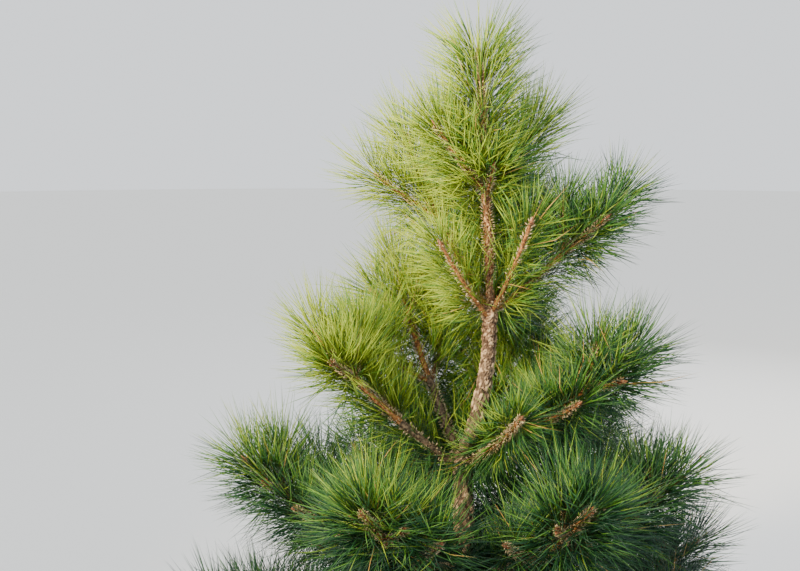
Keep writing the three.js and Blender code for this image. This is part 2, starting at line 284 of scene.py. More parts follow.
def ramp_of(tree, tone, colours, stops):
    """The colour of a ramp from dark cracks to pale plates, led by a tone from 0 to 1."""
    ramp = add(tree, "ShaderNodeValToRGB", None, {"Fac": tone})
    for _ in colours[2:]:
        ramp.color_ramp.elements.new(0.5)
    for element, stop, colour in zip(ramp.color_ramp.elements, stops, colours):
        element.position = stop
        element.color = linear(colour)
    return ramp.outputs["Color"]


stem_heights = np.append(np.arange(0, STEM_TOP, STEM_RING), STEM_TOP)
stem_corners, stem_tones = [], []
noise.seed_set(BARK_SEED)
for height in stem_heights:
    axis, radius = stem_axis(height), stem_radius(height)
    thin = min(1.0, radius / OLD_PLATE["width"])
    for angle in np.arange(STEM_SIDES) * math.tau / STEM_SIDES:
        out = np.array([math.cos(angle), math.sin(angle), 0])
        lift, tone = bark_at(axis + radius * out, height)
        stem_corners.append(axis + (radius + thin * lift) * out)
        stem_tones.append(tone)
stem_corners += [stem_axis(0), stem_axis(STEM_TOP)]
stem_tones += [CUT_TONE, CUT_TONE]
stem_mesh = new_mesh("stem", np.array(stem_corners), tube_faces(len(stem_heights), STEM_SIDES))
set_points(stem_mesh, "bark_tone", "FLOAT", stem_tones)

# Thin scaly bark: dull and rough, dark in its cracks, with dry pinkish grey plates that catch the light and
# orange-brown ones on the young wood. The mottle is as wide as a few plates, and the grain is fine flaking.
MOTTLE = 18
MOTTLE_SHARE = 0.6
FLAKING = 1.8
TONES = (0.2, 1.3)  # the darkest and palest tones that plates and mottle give together
BARK_STOPS = (0, 0.35, 0.6, 0.85)
bark, tree, shader = new_material(
    "scaly_pine_bark", {"Roughness": 0.88, "IOR": 1.45, "Specular IOR Level": 0.3}
)
place = add(tree, "ShaderNodeTexCoord").outputs["Object"]
tone = add(tree, "ShaderNodeAttribute", attribute_name="bark_tone").outputs["Fac"]
mottle = add(tree, "ShaderNodeTexNoise", {"Scale": 1 / (MOTTLE * MM), "Detail": 4}, {"Vector": place})
mottled = add(
    tree, "ShaderNodeMath", {1: MOTTLE_SHARE}, {0: mottle.outputs["Fac"], 2: tone}, operation="MULTIPLY_ADD"
)
tone = add(tree, "ShaderNodeMapRange", {1: TONES[0], 2: TONES[1]}, {0: mottled.outputs[0]}).outputs[0]
height = add(tree, "ShaderNodeSeparateXYZ", None, {0: place}).outputs["Z"]
youth = add(tree, "ShaderNodeMapRange", {1: YOUNG_FROM[0], 2: YOUNG_FROM[1]}, {0: height}).outputs[0]
old = ramp_of(tree, tone, OLD_BARK, BARK_STOPS)
young = ramp_of(tree, tone, YOUNG_BARK, BARK_STOPS)
colour = add(tree, "ShaderNodeMix", None, {0: youth, 6: old, 7: young}, data_type="RGBA")
grain = add(tree, "ShaderNodeTexNoise", {"Scale": 1 / (FLAKING * MM), "Detail": 2}, {"Vector": place})
bump = add(
    tree, "ShaderNodeBump", {"Strength": 0.8, "Distance": 0.6 * MM}, {"Height": grain.outputs["Fac"]}
)
tree.links.new(colour.outputs[2], shader.inputs["Base Color"])
tree.links.new(bump.outputs["Normal"], shader.inputs["Normal"])
stem_mesh.materials.append(bark)

stem = put_in_scene("stem", stem_mesh)
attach(stem, "root")
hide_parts("trunk")


# The boughs and twigs. A whorl's boughs leave the stem together, and every shoot forks at the end of each
# year's growth. They are wood under thin orange-brown bark that turns grey-brown after two years.
# A bough is (bearing, rise at its foot, length, drop of its foot), and limb the longest one's radii.
WHORLS = {
    "skirt": dict(
        years=3, limb=(9, 4),
        boughs=[(32, 6, 470, 0), (128, 9, 450, 12), (205, 5, 480, 0), (298, 8, 460, 14)],
    ),
    "base": dict(
        years=4, limb=(11.5, 4),
        boughs=[
            (14, 13, 590, 0), (72, 10, 560, 22), (133, 14, 580, 4),
            (202, 13, 600, 20), (264, 11, 590, 0), (325, 17, 600, 24),
        ],
    ),
    "lower": dict(
        years=4, limb=(10.5, 4),
        boughs=[
            (346, 19, 505, 0), (42, 21, 520, 22), (108, 20, 510, 2),
            (187, 20, 535, 20), (247, 23, 535, 0), (300, 27, 520, 24),
        ],
    ),
    "middle": dict(
        years=3, limb=(8.5, 4),
        boughs=[
            (355, 28, 425, 0), (62, 33, 440, 20), (122, 47, 500, 2),
            (195, 38, 430, 18), (302, 30, 250, 8),
        ],
    ),
    "upper": dict(
        years=2, limb=(5.8, 3.6),
        boughs=[
            (9, 37, 360, 0), (74, 40, 370, 18), (136, 51, 440, 2),
            (224, 46, 215, 16), (306, 56, 230, 6),
        ],
    ),
    "top": dict(
        years=1, limb=(4, 3.2),
        boughs=[(22, 48, 165, 0), (112, 52, 160, 8), (200, 50, 170, 2), (285, 50, 75, 10)],
    ),
}
STEPS_A_YEAR = 2
YEAR_SHRINK = 0.12  # how much shorter each year's growth is, of the first year's
LIFT = 0.074  # how far a shoot turns up to the light at each step
SWAY = 8  # degrees that a bough swings sideways along its length, at most
FORK_ANGLE = (38, 54)  # degrees from the shoot
FORK_SIDES = (90, -90, 10)  # degrees round it, from its upper side
FORK_TURN = 15
UPPER_FORK_YEARS = 1  # the fork on the upper side grows only with no more years than this left
SIDE_LENGTH = (0.6, 0.8)  # of what the shoot still grows past the fork
SLIM = 0.5  # a bough is thinner than its whorl's longest by this power of its share of that length
LEAST_SIDE = 60  # a fork that would be shorter than this stays a bud
LOST = {  # forks that broke off young, as (year, which of FORK_SIDES)
    ("middle", 4): [(1, 1)],
    ("middle", 5): [(1, 0)],
    ("upper", 4): [(1, 0), (1, 1), (1, 2)],
    ("upper", 5): [(1, 0), (1, 1), (1, 2)],
}
TWIG_TIP = 2.4
TWIG_A_YEAR = 0.9  # what each year of growth adds to a side shoot's radius at its foot
OWN_SPACE = 4  # a side shoot stays this much nearer to its own bough than to any other
STEM_SPACE = 45  # between a side shoot and the stem
GROUND_SPACE = 30
SPACE_PROBES = (0.4, 0.7, 1.0)  # where along a side shoot its space is tested
WHORL_SEED, BOUGH_SEED = 1009, 97
CURVE_STEPS = 12
FORK_SWELL = 0.25  # of the radius
FORK_SWELL_REACH = 0.14  # of a step
FOOT_SWELL = 0.4
FOOT_SWELL_REACH = 0.3
LIMB_SIDES = 14
TWIG_SIDES = 6
RELIEF = 0.32  # of the radius
RELIEF_SIZE = 7
OLD_WOOD = 1.9  # years at which the bark has turned grey-brown


def stream(seed):
    """A seeded stream of numbers from 0 to 1, by the same rule as the tree's solids."""
    step, period = 48271, 2147483647
    state = seed
    while True:
        state = state * step % period
        yield state / period


def unit(vectors):
    return vectors / np.linalg.norm(vectors, axis=-1, keepdims=True)


def turned(vector, axis, angle):
    """The vector turned by an angle, in degrees, round an axis of length 1."""
    c, s = math.cos(math.radians(angle)), math.sin(math.radians(angle))
    return vector * c + np.cross(axis, vector) * s + axis * np.dot(axis, vector) * (1 - c)


def heading(bearing, rise):
    across, up = math.radians(bearing), math.radians(rise)
    return np.array([math.cos(across) * math.cos(up), math.sin(across) * math.cos(up), math.sin(up)])


def step_lengths(length, years):
    shares = [1 - YEAR_SHRINK * year for year in range(years)]
    return [length * share / sum(shares) / STEPS_A_YEAR for share in shares for _ in range(STEPS_A_YEAR)]


def grow(start, way, steps, sway):
    """A shoot's path from its start: it swings sideways by sway degrees in all, and turns up as it goes."""
    path = [start]
    for length in steps:
        way = turned(way, UP, sway / len(steps))
        path.append(path[-1] + way * length)
        way = unit(way + LIFT * UP)
    return np.array(path)


def fork(shoot, draw):
    """The side shoots that leave a shoot at the end of each year but its last."""
    path, years = shoot["path"], shoot["years"]
    lengths = np.linalg.norm(np.diff(path, axis=0), axis=1)
    lost = LOST.get((shoot.get("whorl"), shoot.get("number")), [])
    for year in range(1, years):
        node = year * STEPS_A_YEAR
        along = unit(path[node + 1] - path[node])
        upper = unit(UP - along * along[2])
        years_left = years - year
        for which, side in enumerate(FORK_SIDES[: 3 if years_left <= UPPER_FORK_YEARS else 2]):
            turn = side + between(-FORK_TURN, FORK_TURN, next(draw))
            angle = math.radians(between(*FORK_ANGLE, next(draw)))
            way = along * math.cos(angle) + turned(upper, along, turn) * math.sin(angle)
            length = lengths[node:].sum() * between(*SIDE_LENGTH, next(draw))
            path_out = grow(path[node], way, step_lengths(length, years_left), 0)
            radii = (TWIG_TIP + TWIG_A_YEAR * years_left, TWIG_TIP)
            if length >= LEAST_SIDE and (year, which) not in lost:
                yield dict(path=path_out, years=years_left, radii=radii, bough=shoot["bough"], side=True)


def fits(shoot):
    """Whether a side shoot keeps to its bough's space, and clear of the stem and the ground."""
    for share in SPACE_PROBES:
        point = shoot["path"][round(share * (len(shoot["path"]) - 1))]
        off_stem = np.linalg.norm(point - stem_axis(min(max(point[2], 0), STEM_TOP)))
        shares = ((point - line_starts) * line_ways).sum(1) / (line_ways**2).sum(1)
        feet = line_starts + line_ways * np.clip(shares, 0, 1)[:, None]
        distances = np.linalg.norm(point - feet, axis=1)
        own = line_owners == shoot["bough"]
        if point[2] < GROUND_SPACE or off_stem < STEM_SPACE:
            return False
        if distances[~own].min() - distances[own].min() < OWN_SPACE:
            return False
    return True


boughs, draws = [], []
for level, station in enumerate(STATIONS[1:-1], 1):
    whorl = WHORLS[station["name"]]
    longest = max(length for _, _, length, _ in whorl["boughs"])
    for number, (bearing, rise, length, drop) in enumerate(whorl["boughs"], 1):
        draw = stream(WHORL_SEED * level + BOUGH_SEED * number)
        sway = between(-SWAY, SWAY, next(draw))
        steps = step_lengths(length, whorl["years"])
        path = grow(stem_axis(station["height"] - drop), heading(bearing, rise), steps, sway)
        radii = [radius * (length / longest) ** SLIM for radius in whorl["limb"]]
        bough = dict(path=path, years=whorl["years"], radii=radii, bough=len(boughs), side=False)
        boughs.append(dict(bough, whorl=station["name"], number=number, length=length))
        draws.append(draw)

leader_line = np.array([stem_axis(STATIONS[-2]["height"]), stem_axis(STEM_TOP)])
lines = [bough["path"] for bough in boughs] + [leader_line]
line_starts = np.concatenate([line[:-1] for line in lines])
line_ways = np.concatenate([np.diff(line, axis=0) for line in lines])
line_owners = np.repeat(np.arange(len(lines)), [len(line) - 1 for line in lines])

shoots = []
for bough, draw in zip(boughs, draws):
    waiting = [bough]
    while waiting:
        shoots.append(waiting.pop(0))
        waiting += [side for side in fork(shoots[-1], draw) if fits(side)]
whorl_shoots = {
    name: [shoot for shoot in shoots if boughs[shoot["bough"]]["whorl"] == name] for name in WHORLS
}


def smooth_path(path):
    """A path smoothed by a curve through its points, and how many steps along it each new point is."""
    ends = np.vstack([2 * path[0] - path[1], path, 2 * path[-1] - path[-2]])
    places = np.linspace(0, len(path) - 1, (len(path) - 1) * CURVE_STEPS + 1)
    step = np.minimum(places.astype(int), len(path) - 2)
    t = (places - step)[:, None]
    a, b, c, d = (ends[step + i] for i in range(4))
    squared, cubed = 2 * a - 5 * b + 4 * c - d, 3 * b - a - 3 * c + d
    return 0.5 * (2 * b + (c - a) * t + squared * t**2 + cubed * t**3), places


def middle_lines(name, shoots):
    """Shoots as a mesh of edges along their middles, each point with its thickness and its age in years."""
    points, thickness, ages, edges, count = [], [], [], [], 0
    for shoot in shoots:
        path, places = smooth_path(shoot["path"])
        radii = between(*shoot["radii"], places / places[-1])
        for fork_place in range(STEPS_A_YEAR, len(shoot["path"]) - 1, STEPS_A_YEAR):
            radii = radii * (1 + FORK_SWELL * np.exp(-(((places - fork_place) / FORK_SWELL_REACH) ** 2)))
        points.append(path)
        thickness.append(radii * (1 + FOOT_SWELL * np.exp(-places / FOOT_SWELL_REACH)) * MM)
        ages.append(shoot["years"] - places / STEPS_A_YEAR)
        first = count + np.arange(len(path) - 1)
        edges.append(np.stack([first, first + 1], 1))
        count += len(path)
    return edge_mesh(name, np.concatenate(points), np.concatenate(edges), thickness, ages)


def edge_mesh(name, points, edges, thickness, ages):
    """A mesh of edges alone, whose points know the wood's thickness, in metres, and its age."""
    mesh = bpy.data.meshes.new(name)
    mesh.vertices.add(len(points))
    mesh.vertices.foreach_set("co", (points * MM).astype(np.float32).ravel())
    mesh.edges.add(len(edges))
    mesh.edges.foreach_set("vertices", edges.astype(np.int32).ravel())
    set_points(mesh, "thickness", "FLOAT", np.concatenate(thickness))
    set_points(mesh, "age", "FLOAT", np.concatenate(ages))
    return mesh


def new_tree(name, inputs):
    """A geometry tree with these named number inputs, and its input and output nodes."""
    tree = bpy.data.node_groups.new(name, "GeometryNodeTree")
    tree.interface.new_socket("Geometry", in_out="INPUT", socket_type="NodeSocketGeometry")
    for label, value in inputs.items():
        kind = "NodeSocketInt" if isinstance(value, int) else "NodeSocketFloat"
        tree.interface.new_socket(label, in_out="INPUT", socket_type=kind).default_value = value
    tree.interface.new_socket("Geometry", in_out="OUTPUT", socket_type="NodeSocketGeometry")
    return tree, add(tree, "NodeGroupInput").outputs, add(tree, "NodeGroupOutput").inputs


def made_by(tree, name, source_mesh, **sizes):
    """The plain mesh that a tree makes of a source mesh, with these of its named inputs set."""
    source = put_in_scene(name + "_source", source_mesh)
    modifier = source.modifiers.new("maker", "NODES")
    modifier.node_group = tree
    for socket in tree.interface.items_tree:
        if socket.in_out == "INPUT" and socket.name in sizes:
            modifier[socket.identifier] = sizes[socket.name]
    evaluated = source.evaluated_get(bpy.context.evaluated_depsgraph_get())
    mesh = bpy.data.meshes.new_from_object(evaluated)
    bpy.data.objects.remove(source)
    mesh.name = name
    mesh.polygons.foreach_set("use_smooth", np.ones(len(mesh.polygons), bool))
    return put_in_scene(name, mesh)


def named(tree, name, kind="FLOAT"):
    return add(tree, "GeometryNodeInputNamedAttribute", {"Name": name}, data_type=kind).outputs["Attribute"]


def with_bark_by_age(tree, geometry):
    """Gives the geometry young bark, and weathered bark where its wood is old."""
    is_old = add(
        tree, "FunctionNodeCompare", {1: OLD_WOOD}, {0: named(tree, "age")}, operation="GREATER_THAN"
    )
    real = add(tree, "GeometryNodeRealizeInstances", None, {"Geometry": geometry})
    young = add(tree, "GeometryNodeSetMaterial", {"Material": young_wood}, {"Geometry": real.outputs[0]})
    return add(
        tree, "GeometryNodeSetMaterial", {"Material": old_wood},
        {"Geometry": young.outputs[0], "Selection": is_old.outputs["Result"]},
    ).outputs["Geometry"]


# Young pine bark: orange-brown and dry, paler on the raised feet of shed needles and darker between them.
# Older bark is the same with a grey weathered skin. The scales that show are about 5 mm wide.
SCALE = 5
SCALE_STOPS = (0.3, 0.45, 0.6, 0.75)
DRY_WOOD = {"Roughness": 0.82, "IOR": 1.45, "Specular IOR Level": 0.35}
TWIG_BARK = ["#4A2A1A", "#8A5A34", "#B8804A", "#DAAE7A"]
WEATHERED_BARK = ["#2C241D", "#5A4A3A", "#806C54", "#AD9472"]


def scaly(name, values, kind, pattern, output, colours, stops):
    """A material whose colours and shallow relief both follow one pattern, as on small scales."""
    material, tree, shader = new_material(name, values)
    place = add(tree, "ShaderNodeTexCoord").outputs["Object"]
    tone = add(tree, kind, pattern, {"Vector": place}).outputs[output]
    bump = add(tree, "ShaderNodeBump", {"Strength": 0.6, "Distance": 0.5 * MM}, {"Height": tone})
    tree.links.new(ramp_of(tree, tone, colours, stops), shader.inputs["Base Color"])
    tree.links.new(bump.outputs["Normal"], shader.inputs["Normal"])
    return material


scales = {"Scale": 1 / (SCALE * MM), "Detail": 4}
young_wood, old_wood = (
    scaly(name, DRY_WOOD, "ShaderNodeTexNoise", scales, "Fac", colours, SCALE_STOPS)
    for name, colours in (("young_pine_bark", TWIG_BARK), ("weathered_pine_bark", WEATHERED_BARK))
)

# Each shoot's middle line gets a round skin of its own thickness, with noise along its normals for relief.
skin, inputs, outputs = new_tree(
    "bark_skin", {"Sides": LIMB_SIDES, "Relief": RELIEF, "Relief size": RELIEF_SIZE * MM}
)
thickness = named(skin, "thickness")
curve = add(skin, "GeometryNodeMeshToCurve", None, {"Mesh": inputs["Geometry"]})
circle = add(skin, "GeometryNodeCurvePrimitiveCircle", {"Radius": 1.0}, {"Resolution": inputs["Sides"]})
tube = add(
    skin, "GeometryNodeCurveToMesh", {"Fill Caps": True},
    {"Curve": curve.outputs["Curve"], "Profile Curve": circle.outputs["Curve"], "Scale": thickness},
)
place = add(skin, "GeometryNodeInputPosition").outputs["Position"]
scale = add(skin, "ShaderNodeMath", {0: 1.0}, {1: inputs["Relief size"]}, operation="DIVIDE")
rough = add(skin, "ShaderNodeTexNoise", {"Detail": 3}, {"Vector": place, "Scale": scale.outputs[0]})
level = add(skin, "ShaderNodeMath", {1: 0.5}, {0: rough.outputs["Fac"]}, operation="SUBTRACT")
deep = add(skin, "ShaderNodeMath", None, {0: level.outputs[0], 1: inputs["Relief"]}, operation="MULTIPLY")
lift = add(skin, "ShaderNodeMath", None, {0: deep.outputs[0], 1: thickness}, operation="MULTIPLY")
normal = add(skin, "GeometryNodeInputNormal").outputs["Normal"]
offset = add(skin, "ShaderNodeVectorMath", None, {0: normal, "Scale": lift.outputs[0]}, operation="SCALE")
barked = add(
    skin, "GeometryNodeSetPosition", None,
    {"Geometry": tube.outputs["Mesh"], "Offset": offset.outputs["Vector"]},
)
skin.links.new(with_bark_by_age(skin, barked.outputs["Geometry"]), outputs["Geometry"])

for name, whorl in WHORLS.items():
    main_shoots = [shoot for shoot in whorl_shoots[name] if not shoot["side"]]
    side_shoots = [shoot for shoot in whorl_shoots[name] if shoot["side"]]
    limbs = made_by(skin, f"limbs_{name}", middle_lines(name, main_shoots), Sides=LIMB_SIDES)
    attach(limbs, "root")
    if whorl["years"] > 1:
        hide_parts(*[f"bough_{name}_{number}" for number in range(1, len(whorl["boughs"]) + 1)])
        twigs = made_by(skin, f"twigs_{name}", middle_lines(name, side_shoots), Sides=TWIG_SIDES)
        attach(twigs, "root")


# The stubs. Where a pair of needles was shed, the scale below it stays as a stiff little stub, so older
# shoots and the upper stem look like rope. Stubs wind up a shoot as its needles did, leaning forwards.
GOLDEN_ANGLE = 137.508
STUB = dict(spacing=2.2, length=4.6, radius=1.2)
STEM_STUB = dict(spacing=0.7, length=5, radius=1.5, heights=(1200, 1600), line_step=5, age=1.0)
STUB_SIDES = 4
STUB_SIZES = (0.6, 1.2)  # of the full size, from the smallest to the largest
STUB_LEAN = 52  # degrees from the shoot
STUB_SUNK = 0.95  # of the shoot's radius, where its foot is
STUB_SCATTER = 0.35  # radians round the shoot

stubs, inputs, outputs = new_tree(
    "needle_stubs",
    {"Spacing": STUB["spacing"] * MM, "Length": STUB["length"] * MM, "Radius": STUB["radius"] * MM},
)
curve = add(stubs, "GeometryNodeMeshToCurve", None, {"Mesh": inputs["Geometry"]})
points = add(
    stubs, "GeometryNodeCurveToPoints", None,
    {"Curve": curve.outputs["Curve"], "Length": inputs["Spacing"]}, mode="LENGTH",
)
index = add(stubs, "GeometryNodeInputIndex").outputs["Index"]
spin = add(stubs, "ShaderNodeMath", {1: math.radians(GOLDEN_ANGLE)}, {0: index}, operation="MULTIPLY")
jitter = add(stubs, "FunctionNodeRandomValue", {2: -STUB_SCATTER, 3: STUB_SCATTER, "Seed": 5})
turn = add(stubs, "ShaderNodeMath", None, {0: spin.outputs[0], 1: jitter.outputs[1]}, operation="ADD")
round_it = add(stubs, "FunctionNodeAxisAngleToRotation", {"Axis": (0, 0, 1)}, {"Angle": turn.outputs[0]})
outward = add(
    stubs, "FunctionNodeRotateRotation", None,
    {"Rotation": points.outputs["Rotation"], "Rotate By": round_it.outputs["Rotation"]},
    rotation_space="LOCAL",
)
lean_by = add(
    stubs, "FunctionNodeAxisAngleToRotation", {"Axis": (0, 1, 0), "Angle": math.radians(STUB_LEAN)}
)
leaning = add(
    stubs, "FunctionNodeRotateRotation", None,
    {"Rotation": outward.outputs["Rotation"], "Rotate By": lean_by.outputs["Rotation"]},
    rotation_space="LOCAL",
)
sunk = add(stubs, "ShaderNodeMath", {1: STUB_SUNK}, {0: named(stubs, "thickness")}, operation="MULTIPLY")
side = add(stubs, "ShaderNodeCombineXYZ", None, {"X": sunk.outputs[0]})
offset = add(
    stubs, "FunctionNodeRotateVector", None,
    {"Vector": side.outputs[0], "Rotation": outward.outputs["Rotation"]},
)
feet = add(
    stubs, "GeometryNodeSetPosition", None,
    {"Geometry": points.outputs["Points"], "Offset": offset.outputs["Vector"]},
)
stub = add(
    stubs, "GeometryNodeMeshCone", {"Vertices": STUB_SIDES, "Radius Top": 0.0},
    {"Radius Bottom": inputs["Radius"], "Depth": inputs["Length"]},
)
size = add(stubs, "FunctionNodeRandomValue", {2: STUB_SIZES[0], 3: STUB_SIZES[1], "Seed": 6})
placed = add(
    stubs, "GeometryNodeInstanceOnPoints", None,
    {
        "Points": feet.outputs["Geometry"], "Instance": stub.outputs["Mesh"],
        "Rotation": leaning.outputs["Rotation"], "Scale": size.outputs[1],
    },
)
stubs.links.new(with_bark_by_age(stubs, placed.outputs["Instances"]), outputs["Geometry"])

for name in WHORLS:
    rope = made_by(stubs, f"stubs_{name}", middle_lines(name, whorl_shoots[name]))
    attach(rope, "root")

scaled_heights = np.arange(*STEM_STUB["heights"], STEM_STUB["line_step"])
scaled_edges = np.stack([np.arange(len(scaled_heights) - 1), np.arange(1, len(scaled_heights))], 1)
scaled_line = edge_mesh(
    "upper_stem", np.array([stem_axis(h) for h in scaled_heights]), scaled_edges,
    [[stem_radius(h) * MM for h in scaled_heights]], [np.full(len(scaled_heights), STEM_STUB["age"])],
)
rope = made_by(
    stubs, "stubs_stem", scaled_line,
    Spacing=STEM_STUB["spacing"] * MM, Length=STEM_STUB["length"] * MM, Radius=STEM_STUB["radius"] * MM,
)
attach(rope, "root")


# The buds. Each shoot ends in a pointed winter bud of tight red-brown scales, with three small ones round
# it, and the leader's is the biggest. Dry resin on the scales gives them a dull waxy light.
BUD = dict(length=20, radius=4.4, sides=7, rings=7, blunt=0.62)  # the lower blunt is, the lower its belly
BUD_FOOT = 5  # how far the bud's foot is sunk in its shoot
SIDE_BUDS = 3
SIDE_BUD = (0.5, 0.75)  # of the middle bud
SIDE_BUD_LEAN = 42
SIDE_BUD_BACK = 7  # behind the middle bud
SIDE_BUD_TURN = 25  # degrees either way, round the shoot
BUD_VARIES = (0.85, 1.15)
LEADER_BUD = 1.6
BUD_SEED = 31
BUD_COLOURS = ["#4C2519", "#78402A", "#9C6342", "#B58B64"]
BUD_SCALE = 3
BUD_STOPS = (0.1, 0.3, 0.55, 0.8)

bud_scales = scaly(
    "resinous_bud_scales", {"Roughness": 0.55, "IOR": 1.5}, "ShaderNodeTexVoronoi",
    {"Scale": 1 / (BUD_SCALE * MM)}, "Distance", BUD_COLOURS, BUD_STOPS,
)

budding, inputs, outputs = new_tree(
    "winter_buds", {"Length": BUD["length"] * MM, "Radius": BUD["radius"] * MM, "Sides": BUD["sides"]}
)
end = add(budding, "ShaderNodeCombineXYZ", None, {"Z": inputs["Length"]})
line = add(budding, "GeometryNodeCurvePrimitiveLine", None, {"End": end.outputs[0]})
rings = add(budding, "GeometryNodeResampleCurve", {"Count": BUD["rings"]}, {"Curve": line.outputs["Curve"]})
share = add(budding, "GeometryNodeSplineParameter").outputs["Factor"]
blunt = add(budding, "ShaderNodeMath", {1: BUD["blunt"]}, {0: share}, operation="POWER")
half_turn = add(budding, "ShaderNodeMath", {1: math.pi}, {0: blunt.outputs[0]}, operation="MULTIPLY")
belly = add(budding, "ShaderNodeMath", None, {0: half_turn.outputs[0]}, operation="SINE")
width = add(
    budding, "ShaderNodeMath", None, {0: belly.outputs[0], 1: inputs["Radius"]}, operation="MULTIPLY"
)
circle = add(budding, "GeometryNodeCurvePrimitiveCircle", {"Radius": 1.0}, {"Resolution": inputs["Sides"]})
bud = add(
    budding, "GeometryNodeCurveToMesh", {"Fill Caps": True},
    {"Curve": rings.outputs["Curve"], "Profile Curve": circle.outputs["Curve"], "Scale": width.outputs[0]},
)
pointing = named(budding, "way", "FLOAT_VECTOR")
facing = add(budding, "FunctionNodeAlignRotationToVector", None, {"Vector": pointing})
placed = add(
    budding, "GeometryNodeInstanceOnPoints", None,
    {
        "Points": inputs["Geometry"], "Instance": bud.outputs["Mesh"],
        "Rotation": facing.outputs["Rotation"], "Scale": named(budding, "size"),
    },
)
real = add(budding, "GeometryNodeRealizeInstances", None, {"Geometry": placed.outputs["Instances"]})
scaled = add(
    budding, "GeometryNodeSetMaterial", {"Material": bud_scales}, {"Geometry": real.outputs["Geometry"]}
)
budding.links.new(scaled.outputs["Geometry"], outputs["Geometry"])

rng = np.random.default_rng(BUD_SEED)
leader_way = unit(stem_axis(STEM_TOP) - stem_axis(STEM_TOP - BUD["length"]))
ends = [(shoot["path"][-1], unit(shoot["path"][-1] - shoot["path"][-2]), 1.0) for shoot in shoots]
ends.append((stem_axis(STEM_TOP), leader_way, LEADER_BUD))
spots, ways, sizes = [], [], []
for spot, way, size in ends:
    vigour = size * rng.uniform(*BUD_VARIES)
    spots.append(spot - way * BUD_FOOT)
    ways.append(way)
    sizes.append(vigour)
    across = unit(np.cross(way, rng.normal(size=3)))
    for number in range(SIDE_BUDS):
        turn = number * 360 / SIDE_BUDS + rng.uniform(-SIDE_BUD_TURN, SIDE_BUD_TURN)
        out = turned(across, way, turn)
        lean = math.radians(SIDE_BUD_LEAN)
        spots.append(spot - way * SIDE_BUD_BACK)
        ways.append(way * math.cos(lean) + out * math.sin(lean))
        sizes.append(vigour * rng.uniform(*SIDE_BUD))
bud_points = bpy.data.meshes.new("shoot_ends")
bud_points.vertices.add(len(spots))
bud_points.vertices.foreach_set("co", (np.array(spots) * MM).astype(np.float32).ravel())
set_points(bud_points, "way", "FLOAT_VECTOR", ways)
set_points(bud_points, "size", "FLOAT", sizes)
buds = made_by(budding, "buds", bud_points)
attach(buds, "root")


# The needles. They stand in pairs on the growth of the last four years, wound round it by the golden angle:
# forwards at the bud, and square to older wood. Each pair leaves a papery sheath and bends a little.
YEARS = [  # pairs a millimetre, degrees from the shoot at a year's foot and end, and lengths, newest first
    dict(pairs=1.45, tilt=(80, 40), length=(112, 160)),
    dict(pairs=1.6, tilt=(88, 68), length=(106, 152)),
    dict(pairs=1.5, tilt=(92, 78), length=(98, 144)),
    dict(pairs=1.3, tilt=(94, 84), length=(90, 134)),
]
LEADER = dict(pairs=2.4, tilt=(76, 40), length=(128, 166))
LEADER_SCATTER = 8  # its needles fan out evenly, and leave a hollow above its bud
LEADER_CURL = -0.08  # away from its tip
LEADER_FOOT = 18  # above the top whorl, where the leader's needles start
SECOND_YEAR_FOOT = 60  # above the upper whorl, where its needles of the second year start
SECOND_YEAR_PAIRS = 150  # left on the stem between the upper whorl and the top one
STEM_POINTS = 30  # on each needled length of the stem's axis
BARE_FOOT = 0.06  # of each year's growth
TILT_SCATTER = 18  # degrees from the shoot
TURN_SCATTER = 13  # degrees round it
LEVEL_BIAS = [0.02, 0.01, 0]  # gives an upright shoot a level side too
FULLNESS = {"skirt": 0.75, "base": 0.9, "lower": 1.15, "middle": 1.25, "upper": 1.15, "top": 1.15}
SIDE_PAIRS = 0.8  # a side shoot has this share of its bough's needles for its length
WEAK_GROWTH = (80, 135)  # millimetres a year: a bough that grows less than this has fewer, shorter needles
WEAK_NEEDLES = 0.7
NEEDLE_WIDTH = 1.6
WIDTH_VARIES = (0.85, 1.15)
BLADE_RING = 0.58  # of the width, from the middle of a blade to each of its three corners
PAIR_SPREAD = 5  # degrees that each needle of a pair leans away from the other
CURL = 0.12  # how far a needle's outer half turns towards its shoot's tip
CURL_SCATTER = 0.15
SHEATH_LENGTH = 11
SHEATH_WIDTH = 2.6
SHEATH_BELLY = 0.6  # of its length
SEATED = 0.8  # of the shoot's radius, where a pair is rooted
CLEARINGS = [  # heights, width and depth of the gaps in front of the stem, where it shows
    ((720, 1190), 52, 380),
    ((1190, 1400), 30, 380),
]
# The limb that shows through a gap in front of it: from where to where along it, and how wide the gap is.
SEEN_LIMB = dict(bough=("middle", 3), along=(50, 330), gap=26)
# A bough's habit: how full of needles it is, what it has kept of its oldest ones, how long they are, how
# far they turn up to the light, and what share is shed in the gaps and, where its wood shows, towards -Y.
HABIT = dict(fullness=1, oldest=1, length=1, rise=0.24, cleared=0.85, parted=0)
OWN_HABITS = {
    ("middle", 3): dict(parted=0.85),
    ("middle", 4): dict(oldest=0.7, rise=0.45, parted=0.6),
    ("middle", 5): dict(fullness=2, rise=-0.25, cleared=0.5),
    ("upper", 1): dict(length=0.86),
    ("upper", 4): dict(fullness=0.7, parted=0.6),
    ("upper", 5): dict(fullness=0.7, parted=0.6),
    ("top", 1): dict(rise=0.5),
}
PARTED_FROM = -0.2  # how far towards -Y a needle may point without hiding the wood
AXIS_STEP = 10  # between the heights at which a needle's distance from the stem is known
STEM_CLEAR = 1
GROUND_CLEAR = 12
REACH = 42  # how far a needle may stand out of the box round the tree's solids
# the needles' greens, from yellow-green in painted sunlight to deep green in painted shade; random tone
# also deals them out
GREENS = ["#96AC30", "#77962E", "#528029", "#356329", "#1F4C26", "#103622"]
STRAW_COLOUR = "#C09A55"
SHEATH_COLOUR = "#C6B28C"
PAINTED_SUN_HEIGHTS = (700, 1280)  # heights between which painted sunlight turns the needles from deep to yellow-green
PAINTED_SUN_LEVELS = (0.02, 1.0)  # how much painted sunlight they have below and above those, on the sunny side
PAINTED_SHADE_FROM = (-150, 220)  # from left to right, where the painted sunlight ends and the painted shade starts
PAINTED_SHADE = 0.55  # how much less yellow-green the painted shade makes the shaded side
